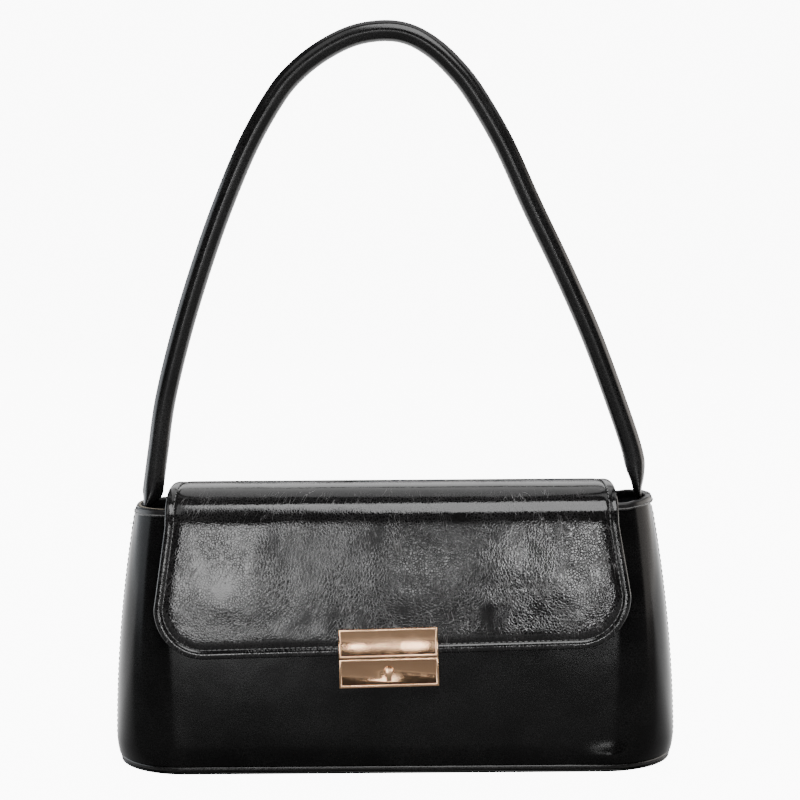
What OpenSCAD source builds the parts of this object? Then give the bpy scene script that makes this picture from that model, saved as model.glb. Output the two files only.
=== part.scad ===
// Baguette bag with a folding flap, a press lock and a round shoulder handle.
// X runs to the right, Y to the back and Z up, with the origin under the middle of the base.

/* [Body] */
// Outer width of the bag at its base
base_w = 279; // [240:1:320]
// Outer depth of the bag at its base
base_d = 80; // [70:1:96]
// Outer width of the bag at its mouth
mouth_w = 255; // [250:1:290]
// Outer depth of the bag at its mouth
mouth_d = 46; // [44:1:60]
// Height of the rim above the ground
body_h = 128.5; // [115:0.5:150]
// Corner radius of the outline at the base, seen from above
base_corner_r = 36; // [26:1:38]
// Corner radius of the outline at the mouth, seen from above
mouth_corner_r = 20; // [14:1:21]
// How far the walls draw in just above the base
tuck = 2.2; // [0:0.1:4]
// Height over which the walls draw in
tuck_h = 14; // [8:1:24]

/* [Walls] */
// Thickness of the outer leather of the bag
leather_t = 1; // [0.8:0.1:1.3]
// Thickness of the stiff board behind the leather
board_t = 0.8; // [0.6:0.1:1.1]
// Thickness of the lining cloth
lining_t = 0.5; // [0.4:0.1:0.7]
// Space left between two layers
layer_gap = 0.05; // [0.03:0.01:0.1]
// Thickness of the binding folded over the rim
binding_t = 0.5; // [0.4:0.1:0.8]
// How far the binding reaches down from the rim
binding_drop = 3.4; // [2:0.1:6]
// Width of the raised strip over each side seam
seam_w = 6; // [4:0.5:10]
// How far the side strip stands out
seam_t = 0.7; // [0.4:0.1:1.2]

/* [Base] */
// Thickness of the leather under the base
base_leather_t = 1.3; // [1:0.1:2]
// Thickness of the board over the base leather
base_board_t = 2; // [1.5:0.1:3]
// Radius of the round piping at the foot of the walls
piping_r = 1.4; // [1:0.1:2]
// How far the edge of the base lies inside the widest outline
base_inset = 1.9; // [1:0.1:3]

/* [Flap] */
// Thickness of the outer leather of the flap
flap_leather_t = 1.2; // [1:0.1:1.5]
// Thickness of the stiff board in the front of the flap
flap_board_t = 0.7; // [0.5:0.1:0.9]
// Thickness of the flap's lining
flap_lining_t = 0.6; // [0.5:0.1:0.8]
// Space between the closed flap and the front of the bag
flap_gap = 2.2; // [1.9:0.1:3]
// Space between the flap and the bag behind the rim
flap_back_gap = 1.6; // [1.4:0.1:2]
// Height of the flap's arch over its two folds
flap_arch_h = 17; // [14:0.5:24]
// How far the two folds of the flap lie below the rim
fold_drop = 8; // [6:0.5:12]
// Width of the flap at its back fold
flap_back_w = 212; // [190:1:216]
// Width of the flap over the middle of the mouth
flap_mid_w = 219; // [200:1:220]
// Width of the flap at its front fold
flap_fold_w = 220.5; // [200:0.5:221]
// Width of the flap above its rounded corners
flap_low_w = 231.5; // [210:0.5:236]
// Height of the flap's lower edge above the ground
flap_edge_z = 58.6; // [50:0.1:66]
// Radius of the flap's two lower corners
flap_corner_r = 25; // [14:1:32]
// How far the flap sits to the left of the middle
flap_shift = 0.8; // [0:0.1:2]
// How much the flap's lower edge and the lock rise to the right, in degrees
flap_skew = 1.2; // [0:0.1:1.6]
// Length of the tail that is sewn to the back of the bag
tail_len = 30; // [20:1:40]
// Radius of the tail's two lower corners
tail_corner_r = 10; // [4:1:20]
// Slit left at each fold between the stiff parts of the flap
fold_gap = 0.6; // [0.5:0.1:1]
// How far below the front fold the stiff board starts, so that the leather can bend
board_drop = 6; // [4:0.5:10]

/* [Handle] */
// Thickness of the round handle
handle_d = 10.4; // [9:0.1:11]
// Wall thickness of the leather sleeve round the handle's core
sleeve_t = 1; // [0.8:0.1:1.4]
// Height of the handle's middle line above the points where it folds
handle_rise = 225; // [160:1:260]
// Height of the points where the handle folds above the rim
handle_fold_up = 6; // [6:0.5:9]
// Distance between the middle of a handle end and the outside of the rim
handle_in = 6; // [5.8:0.1:7]
// Thickness of the flat ends of the handle
tab_t = 4; // [3:0.1:4.2]
// Width of the flat ends of the handle
tab_w = 12.8; // [10:0.1:13]
// Length of the flat ends that are sewn inside the bag
tab_len = 26; // [18:1:40]
// Gap between the moving end of the handle and the sewn tab
tab_gap = 0.4; // [0.3:0.1:0.6]

/* [Lock] */
// Width of both plates of the lock
lock_w = 48; // [40:1:60]
// Height of the upper plate
lock_upper_h = 14.1; // [13.6:0.1:16]
// Height of the lower plate
lock_lower_h = 13.8; // [13.6:0.1:16]
// Slit between the two plates
lock_slit = 0.3; // [0.3:0.05:0.6]
// Height of that slit above the ground
lock_z = 56.5; // [53:0.1:58]
// How far the lock sits to the left of the middle
lock_shift = 2.8; // [0:0.1:4]
// How far the plates stand out from the flap's leather
plate_t = 2; // [1.8:0.1:2.6]
// Width of the raised edge round each plate
bezel_w = 1.2; // [0.8:0.1:2]
// Depth of the sunk face inside the raised edge
bezel_depth = 0.4; // [0.2:0.05:0.6]
// Radius of the push button
button_r = 2.2; // [1.8:0.1:2.5]
// Length of the button's tail below its centre
button_tail = 4.7; // [3.5:0.1:5]
// Width of the button's tail
button_tail_w = 2; // [1.4:0.1:2.6]
// How far the button stands out from the plate
button_out = 0.6; // [0.3:0.1:1]
// How far the button and the catch travel
button_travel = 1.5; // [1.2:0.1:1.5]
// Radial play of the button in its hole
button_play = 0.05; // [0.03:0.01:0.1]
// Radius of the rivets and screws of the lock
pin_r = 0.8; // [0.6:0.05:0.9]

/* [Hidden] */
$fn = 48;

// Colours of the leather, its edges, the boards, the cloth and the lock.
leather_colour = [0.08, 0.08, 0.09];
edge_colour = [0.2, 0.2, 0.22];
board_colour = [0.55, 0.5, 0.42];
cloth_colour = [0.15, 0.15, 0.17];
gold = [0.78, 0.64, 0.52];
steel = [0.6, 0.6, 0.62];

// Layers of the wall, as distances in from the outside of the leather.
board_in = leather_t + layer_gap;
lining_in = board_in + board_t + layer_gap;
wall_t = lining_in + lining_t;

// Heights of the stacked pieces of the base.
piping_z = base_leather_t + layer_gap + piping_r;
wall_foot = piping_z + piping_r + layer_gap;
base_board_z = base_leather_t + layer_gap;
base_lining_z = base_board_z + base_board_t + layer_gap;
wall_top = body_h - binding_t - layer_gap;

// Lean of the flat front and back from the vertical.
lean = atan((base_d - mouth_d) / 2 / body_h);

// Steps of each rounded corner, and of the flat front between two corners.
corner_steps = 7;
front_steps = 4;
// Heights at which the walls are shaped, in shares of the wall.
wall_shares = [0, 0.03, 0.07, 0.14, 0.26, 0.38, 0.5, 0.62, 0.74, 0.86, 1];

function tuck_at(z) = z < tuck_h ? tuck * pow(1 - z / tuck_h, 2) : 0;
function half_w(z) = base_w / 2 - (base_w - mouth_w) / 2 * pow(z / body_h, 2) - tuck_at(z);
function half_d(z) = flat_y(z) - tuck_at(z);
function flat_y(z) = base_d / 2 - (base_d - mouth_d) / 2 * z / body_h;
function corner_r(z) = base_corner_r + (mouth_corner_r - base_corner_r) * z / body_h;
function reversed(list) = [for (i = [len(list) - 1:-1:0]) list[i]];

// Half outline of the bag at a height, from the left side round the front to the right side.
function half_outline(z, inset) =
    let (w = half_w(z) - inset, d = half_d(z) - inset, r = corner_r(z) - inset)
    concat(
        [[-w, 0]],
        [for (i = [0:corner_steps]) let (a = 180 + 90 * i / corner_steps)
            [-(w - r) + r * cos(a), -(d - r) + r * sin(a)]],
        [for (i = [1:front_steps - 1]) [(w - r) * (2 * i / front_steps - 1), -d]],
        [for (i = [0:corner_steps]) let (a = 270 + 90 * i / corner_steps)
            [(w - r) + r * cos(a), -(d - r) + r * sin(a)]],
        [[w, 0]]);

// Whole outline of the bag at a height, once round.
function full_outline(z, inset) =
    let (half = half_outline(z, inset), last = len(half) - 1)
    concat(half, [for (i = [last - 1:-1:1]) [half[i][0], -half[i][1]]]);

// A skin that follows the wall. Outer and inner list the same number of [inset, height] pairs.
module wall_skin(outer, inner, all_round = false) {
    loop = concat(outer, reversed(inner));
    m = len(loop);
    rows = [for (q = loop) all_round ? full_outline(q[1], q[0]) : half_outline(q[1], q[0])];
    n = len(rows[0]);
    points = [for (j = [0:m - 1]) for (p = rows[j]) [p[0], p[1], loop[j][1]]];
    sides = [for (j = [0:m - 1]) for (i = [0:all_round ? n - 1 : n - 2])
        let (i2 = (i + 1) % n, j2 = (j + 1) % m)
        for (face = [[j * n + i, j2 * n + i, j2 * n + i2], [j * n + i, j2 * n + i2, j * n + i2]]) face];
    ends = all_round ? [] : [for (j = [0:m / 2 - 2]) let (a = j, b = j + 1, c = m - 2 - j, d = m - 1 - j)
        for (face = [[a * n, c * n, b * n], [a * n, d * n, c * n],
                     [a * n + n - 1, b * n + n - 1, c * n + n - 1],
                     [a * n + n - 1, c * n + n - 1, d * n + n - 1]]) face];
    polyhedron(points, concat(sides, ends));
}

// One layer of the wall between two insets, from the foot of the wall to a top height.
module wall_layer(inset, thick, foot, top, all_round = false) {
    heights = [for (s = wall_shares) foot + (top - foot) * s];
    wall_skin([for (z = heights) [inset, z]], [for (z = heights) [inset + thick, z]], all_round);
}

// A solid through a row of cross-sections, each a list of points in the same order.
module loft(sections) {
    n = len(sections[0]);
    last = len(sections) - 1;
    points = [for (s = sections) for (p = s) p];
    sides = [for (k = [0:last - 1]) for (i = [0:n - 1]) let (j = (i + 1) % n)
        for (face = [[k * n + i, k * n + j, (k + 1) * n + j],
                     [k * n + i, (k + 1) * n + j, (k + 1) * n + i]]) face];
    first_end = [for (i = [1:n - 2]) [0, i + 1, i]];
    last_end = [for (i = [1:n - 2]) [last * n, last * n + i, last * n + i + 1]];
    polyhedron(points, concat(sides, first_end, last_end));
}

// A flat slab with the rounded outline of the base, drawn in by an inset.
module base_slab(inset, low, thick) {
    w = base_w / 2 - inset;
    d = base_d / 2 - inset;
    r = base_corner_r - inset;
    translate([-w, -(d - r), low]) cube([2 * w, 2 * (d - r), thick]);
    translate([-(w - r), -d, low]) cube([2 * (w - r), 2 * d, thick]);
    for (x = [-1, 1], y = [-1, 1])
        translate([x * (w - r), y * (d - r), low]) cylinder(r = r, h = thick, $fn = 96);
}

// Outer leather of the front half, from side seam to side seam.
module front_panel() {
    color(leather_colour)
    difference() {
        wall_layer(0, leather_t, wall_foot, wall_top);
        lock_window();
    }
}

// Outer leather of the back half.
module back_panel() {
    color(leather_colour) mirror([0, 1, 0]) wall_layer(0, leather_t, wall_foot, wall_top);
}

// Stiff board between the front leather and the lining.
module front_board() {
    color(board_colour)
    difference() {
        wall_layer(board_in, board_t, wall_foot, wall_top);
        lock_window();
    }
}

// Stiff board between the back leather and the lining.
module back_board() {
    color(board_colour) mirror([0, 1, 0]) wall_layer(board_in, board_t, wall_foot, wall_top);
}

// Lining of the walls, in one ring.
module wall_lining() {
    color(cloth_colour)
    difference() {
        wall_layer(lining_in, lining_t, wall_foot, wall_top, true);
        lock_window();
    }
}

// Binding folded over the edges of leather, board and lining.
module rim_binding() {
    low = body_h - binding_drop;
    out = -layer_gap;
    in = wall_t + layer_gap;
    color(edge_colour)
    wall_skin(
        [[out - binding_t, low], [out - binding_t, body_h - 0.5 * binding_t],
         [out - 0.4 * binding_t, body_h], [in + 0.4 * binding_t, body_h],
         [in + binding_t, body_h - 0.5 * binding_t], [in + binding_t, low]],
        [[out, low], [out, wall_top + 0.5 * layer_gap], [out, wall_top + layer_gap],
         [in, wall_top + layer_gap], [in, wall_top + 0.5 * layer_gap], [in, low]],
        true);
}

// Raised strip over a side seam, as a row of sections up the wall.
module side_strip(side) {
    top = body_h - binding_drop - layer_gap;
    profile = [[0.07, 0.5], [0.7, 0.42], [1, 0.25], [1, -0.25], [0.7, -0.42], [0.07, -0.5]];
    sections = [for (s = wall_shares) let (z = wall_foot + (top - wall_foot) * s)
        [for (p = profile) [half_w(z) + seam_t * p[0], seam_w * p[1], z]]];
    color(edge_colour) mirror([side < 0 ? 1 : 0, 0, 0]) loft(sections);
}

module side_strip_left() { side_strip(-1); }
module side_strip_right() { side_strip(1); }

// Leather under the base.
module base_panel() {
    color(leather_colour) base_slab(base_inset, 0, base_leather_t);
}

// Round piping between the base and the foot of the walls.
module base_piping() {
    inset = base_inset + piping_r - 0.4;
    w = base_w / 2 - inset;
    d = base_d / 2 - inset;
    r = base_corner_r - inset;
    color(edge_colour)
    for (x = [-1, 1], y = [-1, 1]) {
        translate([x * (w - r), y * (d - r), piping_z])
            rotate([0, 0, x > 0 ? (y > 0 ? 0 : 270) : (y > 0 ? 90 : 180)])
            rotate_extrude(angle = 90, $fn = 96) translate([r, 0]) circle(r = piping_r, $fn = 24);
        translate([0, y * d, piping_z]) rotate([0, x * 90, 0]) cylinder(r = piping_r, h = w - r, $fn = 24);
        translate([x * w, 0, piping_z]) rotate([y * 90, 0, 0]) cylinder(r = piping_r, h = d - r, $fn = 24);
    }
}

// Stiff board on the base leather, inside the piping.
module base_board() {
    color(board_colour) base_slab(base_inset + 2 * piping_r - 0.4 + layer_gap, base_board_z, base_board_t);
}

// Lining over the base board.
module base_lining() {
    inset = base_inset + 2 * piping_r - 0.4 + layer_gap;
    color(cloth_colour) base_slab(inset, base_lining_z, lining_t);
}

// Values of the flap. It rises from the back fold, arches over the mouth and turns down in front.
flap_t = flap_leather_t + layer_gap + flap_board_t + layer_gap + flap_lining_t;
flap_stand = flap_gap + flap_t;
fold_z = body_h - fold_drop;
front_fold_y = -(flat_y(fold_z) + flap_stand / cos(lean));
back_fold_y = flat_y(fold_z) + (flap_back_gap + flap_t) / cos(lean);
leaf_len = (fold_z - flap_edge_z) / cos(lean);
// How far the edges of the board and of the lining lie inside the edge of the leather.
board_edge_in = 1.5;
lining_edge_in = 0.8;
// Stations over the arch in degrees, and the power that squares it off.
arch_angles = [0.3, 4, 10, 19, 30, 45, 60, 75, 90, 105, 120, 135, 150, 161, 170, 176, 179.7];
arch_power = 0.72;

function arch_point(a) =
    let (c = cos(a), span = c > 0 ? back_fold_y : -front_fold_y)
    [sign(c) * span * pow(abs(c), arch_power), fold_z + flap_arch_h * pow(sin(a), arch_power)];

// Point of the arch at a depth under its outer face.
function arch_under(a, depth) =
    let (p = arch_point(a), q = arch_point(max(a - 0.2, 0.01)), r = arch_point(min(a + 0.2, 179.99)))
    let (t = (r - q) / norm(r - q))
    [p[0] - t[1] * depth, p[1] + t[0] * depth];

function arch_half_w(a) =
    let (c = cos(a))
    (c > 0 ? flap_mid_w + (flap_back_w - flap_mid_w) * c : flap_mid_w - (flap_fold_w - flap_mid_w) * c) / 2;

// A layer over the arch between two depths, drawn in from the side edges.
module arch_layer(from, thick, inset) {
    loft([for (a = arch_angles)
        let (o = arch_under(a, from), u = arch_under(a, from + thick), w = arch_half_w(a) - inset)
        [[-w - flap_shift, o[0], o[1]], [w - flap_shift, o[0], o[1]],
         [w - flap_shift, u[0], u[1]], [-w - flap_shift, u[0], u[1]]]]);
}

// Right side of the front leaf as [across, below the fold], down to the middle of its lower edge.
leaf_arc_steps = 10;
function leaf_side(inset, top) =
    let (start = leaf_len - flap_corner_r, r = flap_corner_r - inset)
    concat([[flap_fold_w / 2 - inset, top]],
        [for (i = [0:leaf_arc_steps]) let (a = 90 * i / leaf_arc_steps)
            [flap_low_w / 2 - flap_corner_r + r * cos(a), start + r * sin(a)]]);

// Outline of the front leaf, with its lower edge turned by the skew.
function leaf_outline(inset, top) =
    let (right = leaf_side(inset, top), left = [for (p = reversed(right)) [-p[0], p[1]]])
    [for (p = concat(right, left))
        [p[0] - flap_shift, -p[1] + (p[1] > top ? p[0] * tan(flap_skew) : 0)]];

// A layer of the front leaf between two depths, drawn in from its edges.
module leaf_layer(from, thick, inset, top = fold_gap / 2) {
    translate([0, front_fold_y, fold_z]) rotate([-lean, 0, 0])
        translate([0, from + thick, 0]) rotate([90, 0, 0])
        linear_extrude(thick) polygon(leaf_outline(inset, top));
}

// Tail of the flap, sewn flat to the back of the bag below the back fold.
module flap_tail() {
    flat_off = layer_gap + flap_leather_t;
    top_off = flap_back_gap + flap_t;
    start = tail_len - tail_corner_r;
    rows = concat([for (s = [0, 0.15, 0.3, 0.45, 0.6, 1]) fold_gap / 2 + (start - fold_gap / 2) * s],
                  [for (a = [20, 40, 60, 75, 90]) start + tail_corner_r * sin(a)]);
    color(leather_colour)
    loft([for (l = reversed(rows))
        let (z = fold_z - l * cos(lean), c = max(l - start, 0),
             off = flat_off + (top_off - flat_off) * pow(max(1 - l / (0.6 * start), 0), 2),
             round_in = c > 0 ? tail_corner_r - sqrt(max(pow(tail_corner_r, 2) - c * c, 0)) : 0,
             w = flap_back_w / 2 - round_in,
             y = flat_y(z))
        [[-w - flap_shift, y + off / cos(lean), z], [w - flap_shift, y + off / cos(lean), z],
         [w - flap_shift, y + (off - flap_leather_t) / cos(lean), z],
         [-w - flap_shift, y + (off - flap_leather_t) / cos(lean), z]]]);
}

// Outer leather of the flap over the mouth.
module flap_top_leather() {
    color(leather_colour) arch_layer(0, flap_leather_t, 0);
}

// Lining under the flap over the mouth. It has no board there, so it lies straight on the leather.
module flap_top_lining() {
    from = flap_leather_t + layer_gap;
    color(cloth_colour) arch_layer(from, flap_t - from, lining_edge_in);
}

// Outer leather of the front leaf, with the holes for the lock.
module flap_front_leather() {
    color(leather_colour)
    difference() {
        leaf_layer(0, flap_leather_t, 0);
        flap_lock_holes();
    }
}

// Stiff board in the front leaf.
module flap_front_board() {
    color(board_colour)
    difference() {
        leaf_layer(flap_leather_t + layer_gap, flap_board_t, board_edge_in, board_drop);
        flap_lock_holes();
    }
}

// Lining of the front leaf.
module flap_front_lining() {
    color(cloth_colour)
    difference() {
        leaf_layer(flap_t - flap_lining_t, flap_lining_t, lining_edge_in);
        flap_lock_holes();
    }
}

// Values of the lock, in its own frame: Y runs inwards from the front leather and Z up along it.
face_y = -(flap_stand + plate_t);
half_slit = lock_slit / 2;
// Base plate of the housing, behind the flap.
base_plate_t = 0.7;
base_plate_half_w = 20;
base_plate_high = 12.5;
// Case of the housing, which reaches through the wall.
case_half_w = 9;
case_low = -13;
case_high = 11.5;
case_wall = 1.2;
case_depth = 4.6;
case_play = 0.15;
// Cover inside the bag: a flat flange, a shell over the case and two rails in it.
flange_t = 0.6;
flange_half_w = 18.5;
flange_over = 2.5;
shell_side_t = 0.8;
shell_t = 0.7;
rail_in = 5.6;
rail_w = 1.6;
rail_low = -4;
rail_high = 3.5;
// Washer plate behind the flap.
washer_t = 0.7;
washer_half_w = 18;
washer_low = 3;
washer_high = 13;
// Rivets and screws, and the room round them in leather and board.
pin_room = 0.1;
pin_play = 0.05;
rivet_x = 14.5;
rivet_rows = [5, 11];
rivet_head_t = 0.4;
rivet_cover_t = 1.2;
screw_rows = [-10.5, 8.5];
screw_head_t = 0.8;
long_screw_l = 2.6;
thread_depth = 3.5;
// Striker, from the back of the upper plate to the tip of its hook.
striker_low = 4.6;
striker_high = 7.6;
striker_half_w = 3.5;
striker_sink = 1.1;
hook_rise = 0.9;
hook_lip = 0.3;
hook_tip = 1;
striker_room = 0.3;
// Catch plate behind the base plate.
catch_y = 1.15;
catch_t = 0.9;
catch_play = 0.15;
catch_half_w = case_half_w - case_wall - 0.2;
catch_high = 3.9;
nose_half_w = 2.5;
nose_up = 0.6;
// Button with its collar and the wedge behind it.
button_up = 0.6;
button_z = -(half_slit + lock_lower_h / 2) + button_up;
collar_y = face_y + 3.4;
collar_t = 1;
collar_r = 3.4;
collar_room = 0.3;
wedge_half = 1.1;
wedge_start_y = 0.5;
ramp_room = 0.21;
window_room = 0.2;
catch_foot = button_z - 1.6;
// Springs under the catch, each one tube along a helix.
spring_r = 1;
spring_wire_r = 0.2;
spring_turns = 4;
spring_x = 5;
spring_end_gap = 0.1;

// Puts a solid into the lock's frame.
module lock_place() {
    translate([-lock_shift, -flat_y(lock_z), lock_z])
        rotate([-lean, 0, 0]) rotate([0, -flap_skew, 0]) children();
}

// A box given by its lowest and highest corners.
module block(low, high) {
    translate(low) cube(high - low);
}

// Round pins or holes along Y at both sides of the lock, from a depth outwards over a length.
module pins(rows, from, r, length) {
    for (x = [-rivet_x, rivet_x], z = rows)
        translate([x, from, z]) rotate([90, 0, 0]) cylinder(r = r, h = length, $fn = 16);
}

// Opening through the wall for the lock's case and its screws.
module lock_window() {
    lock_place() {
        block([-case_half_w - case_play, -1, case_low - case_play],
              [case_half_w + case_play, wall_t + 2, case_high + case_play]);
        pins(screw_rows, wall_t + 2, pin_r + pin_room, wall_t + 3);
    }
}

// Openings through the flap for the striker and the rivets.
module flap_lock_holes() {
    lock_place() {
        block([-striker_half_w - 2 * pin_room, -flap_stand - 1, striker_low - 2 * pin_room],
              [striker_half_w + 2 * pin_room, 0, striker_high + 2 * pin_room]);
        pins(rivet_rows, 0, pin_r + pin_room, flap_stand + 1);
    }
}

// A lock plate's front with its raised edge, from a height to a height.
module framed_plate(low, high, back) {
    difference() {
        block([-lock_w / 2, face_y, low], [lock_w / 2, back, high]);
        block([-lock_w / 2 + bezel_w, face_y - 1, low + bezel_w],
              [lock_w / 2 - bezel_w, face_y + bezel_depth, high - bezel_w]);
    }
}

// Upper plate on the outside of the flap. Its lip covers the flap's lower edge.
module lock_upper_plate() {
    edge = (flap_edge_z - lock_z) / cos(lean);
    lip_high = max(half_slit + 0.4, edge - 1.2);
    color(gold) lock_place() {
        difference() {
            framed_plate(half_slit, half_slit + lock_upper_h, -flap_stand - layer_gap);
            block([-striker_half_w - pin_play, face_y + striker_sink - pin_play, striker_low - pin_play],
                  [striker_half_w + pin_play, 0, striker_high + pin_play]);
            pins(rivet_rows, 0, pin_r + pin_play, -face_y - striker_sink + pin_play);
        }
        block([-lock_w / 2, -flap_stand - layer_gap, half_slit], [lock_w / 2, -flap_gap, lip_high]);
    }
}

// Washer plate behind the flap, under the rivets.
module lock_flap_washer() {
    color(steel) lock_place()
    difference() {
        block([-washer_half_w, -flap_gap + layer_gap, washer_low],
              [washer_half_w, -flap_gap + washer_t, washer_high]);
        block([-striker_half_w - pin_room, -flap_gap - 1, striker_low - pin_room],
              [striker_half_w + pin_room, 0, striker_high + pin_room]);
        pins(rivet_rows, 0, pin_r + pin_play, flap_stand);
    }
}

// Four rivets that clamp the flap between the upper plate and the washer.
module lock_rivets() {
    back_y = -flap_gap + washer_t;
    color(steel) lock_place() {
        pins(rivet_rows, back_y, pin_r, back_y - face_y - rivet_cover_t);
        pins(rivet_rows, back_y + rivet_head_t, 2 * pin_r, rivet_head_t);
    }
}

// Striker on the back of the upper plate, with the notch that the catch holds.
module lock_striker() {
    notch = catch_y - catch_play;
    tip = catch_y + catch_t + catch_play;
    root_y = face_y + striker_sink;
    color(steel) lock_place()
    translate([-striker_half_w, 0, 0]) rotate([90, 0, 90])
    linear_extrude(2 * striker_half_w)
    polygon([[root_y, striker_low], [notch, striker_low], [notch, striker_low + hook_rise],
             [tip, striker_low + hook_rise], [tip, striker_low + hook_lip],
             [tip + hook_tip, striker_low + hook_lip + hook_tip],
             [tip + hook_tip, striker_high], [root_y, striker_high]]);
}

// Outline of the keyhole-shaped button, grown by some play.
module button_outline(play) {
    circle(r = button_r + play);
    translate([-button_tail_w / 2 - play, -button_tail - play])
        square([button_tail_w + 2 * play, button_tail + play]);
}

// Lower plate, base plate behind the flap and case through the wall, cast in one piece.
module lock_housing() {
    low = -half_slit - lock_lower_h;
    in_w = case_half_w - case_wall;
    color(gold) lock_place()
    difference() {
        union() {
            framed_plate(low, -half_slit, -layer_gap);
            block([-base_plate_half_w, -base_plate_t, -half_slit - 1],
                  [base_plate_half_w, -layer_gap, base_plate_high]);
            block([-case_half_w, -layer_gap, case_low], [case_half_w, case_depth, case_high]);
        }
        // Cavity for the catch and its springs.
        cavity_low = case_low + case_wall;
        block([-in_w, catch_y - catch_play, cavity_low], [in_w, case_depth + 1, case_high - case_wall]);
        block([-in_w, striker_room, cavity_low], [in_w, catch_y, catch_foot + striker_room]);
        // Hole for the button, and the pocket for its collar.
        translate([0, catch_y, button_z]) rotate([90, 0, 0])
            linear_extrude(catch_y - face_y + 1) button_outline(button_play);
        translate([0, catch_y, button_z]) rotate([90, 0, 0])
            cylinder(r = collar_r + collar_room, h = catch_y - collar_y + pin_room);
        // Slot for the striker.
        block([-striker_half_w - striker_room, -2, striker_low - 3 * striker_room],
              [striker_half_w + striker_room, catch_y, striker_high + 0.5]);
        // Threaded holes for the screws.
        pins(screw_rows, 1, pin_r + pin_play, thread_depth + 1);
    }
}

// Cover inside the bag that closes the case and clamps the wall. Its rails keep the catch flat.
module lock_back_cover() {
    room_w = case_half_w + case_play;
    near = wall_t + layer_gap;
    deep = case_depth + case_play;
    color(gold) lock_place() {
        difference() {
            union() {
                block([-flange_half_w, near, case_low - flange_over],
                      [flange_half_w, near + flange_t, case_high + flange_over]);
                block([-room_w - shell_side_t, near, case_low - case_play - shell_side_t],
                      [room_w + shell_side_t, deep + shell_t, case_high + case_play + shell_side_t]);
            }
            block([-room_w, near - 1, case_low - case_play], [room_w, deep, case_high + case_play]);
            pins(screw_rows, near + 2, pin_r + pin_play, 4);
        }
        for (side = [-1, 1])
            translate([side * (rail_in + rail_w / 2), 0, 0])
                block([-rail_w / 2, catch_y + catch_t + catch_play, rail_low],
                      [rail_w / 2, deep + shell_t / 2, rail_high]);
    }
}

// Four screws through the cover and the wall into the housing.
module lock_screws() {
    near = wall_t + layer_gap + flange_t;
    color(steel) lock_place() {
        pins([screw_rows[0]], near, pin_r, near + long_screw_l);
        pins([screw_rows[1]], near, pin_r, near + base_plate_t - pin_room);
        for (x = [-rivet_x, rivet_x], z = screw_rows)
            translate([x, near + screw_head_t, z]) rotate([90, 0, 0])
                cylinder(r1 = 1.2 * pin_r, r2 = 2 * pin_r, h = screw_head_t, $fn = 16);
    }
}

// Keyhole-shaped push button with its collar, and the wedge that drives the catch.
module lock_button() {
    wedge_y = wedge_start_y + 2 * wedge_half;
    color(gold) lock_place() {
        translate([0, collar_y, button_z]) rotate([90, 0, 0])
            linear_extrude(collar_y - face_y + button_out) button_outline(0);
        translate([0, collar_y + collar_t, button_z]) rotate([90, 0, 0])
            cylinder(r = collar_r, h = collar_t);
        translate([-wedge_half, 0, button_z]) rotate([90, 0, 90]) linear_extrude(2 * wedge_half)
            polygon([[collar_y + collar_t, -wedge_half], [wedge_start_y, -wedge_half],
                     [wedge_y, wedge_half], [collar_y + collar_t, wedge_half]]);
    }
}

// Catch plate: its nose holds the striker, and the ramp in its window follows the wedge.
module lock_catch() {
    ramp_low = button_z - wedge_half + (catch_y - wedge_start_y) - ramp_room;
    window_high = button_z + wedge_half + button_travel + window_room;
    near = catch_y - window_room / 2;
    far = catch_y + catch_t + window_room / 2;
    half = wedge_half + collar_room;
    color(steel) lock_place()
    difference() {
        union() {
            block([-catch_half_w, catch_y, catch_foot], [catch_half_w, catch_y + catch_t, catch_high]);
            block([-nose_half_w, catch_y, catch_foot],
                  [nose_half_w, catch_y + catch_t, striker_low + nose_up]);
        }
        translate([-half, 0, 0]) rotate([90, 0, 90]) linear_extrude(2 * half)
            polygon([[near, ramp_low + near - catch_y], [far, ramp_low + far - catch_y],
                     [far, window_high], [near, window_high]]);
    }
}

// Two coil springs that push the catch up.
module lock_springs() {
    low = case_low + case_wall + spring_wire_r + spring_end_gap;
    high = catch_foot - spring_wire_r - spring_end_gap;
    middle_y = catch_y + catch_t / 2 + 0.25;
    per_turn = 8;
    count = spring_turns * per_turn;
    color(steel) lock_place()
    for (x = [-spring_x, spring_x])
        loft([for (i = [0:count])
            let (a = 360 * i / per_turn, z = low + (high - low) * i / count, out = [cos(a), sin(a), 0])
            [for (k = [0:5]) [x, middle_y, z] + out * (spring_r + spring_wire_r * cos(60 * k))
                + [0, 0, spring_wire_r * sin(60 * k)]]]);
}

// Values of the handle. Its loop is seen from the front, in shares of half the span and of the rise.
handle_shape = [[-0.986, 0], [-0.978, 0.03], [-0.9615, 0.09], [-0.929, 0.2], [-0.8626, 0.34],
                [-0.781, 0.48], [-0.686, 0.62], [-0.574, 0.758], [-0.457, 0.865], [-0.366, 0.92],
                [-0.257, 0.9626], [-0.14, 0.991], [-0.019, 1], [0.08, 0.991], [0.173, 0.9626],
                [0.258, 0.92], [0.338, 0.865], [0.4535, 0.758], [0.57, 0.62], [0.694, 0.48],
                [0.808, 0.34], [0.905, 0.2], [0.974, 0.09], [0.996, 0.03], [1, 0]];
foot_x = mouth_w / 2 - handle_in;
left_foot_x = -foot_x * handle_shape[0][0];
pivot_z = body_h + handle_fold_up;
// Shares of the path over which a flat end turns round, and where the core starts.
flat_share = 0.012;
round_share = 0.05;
core_share = 0.056;

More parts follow.
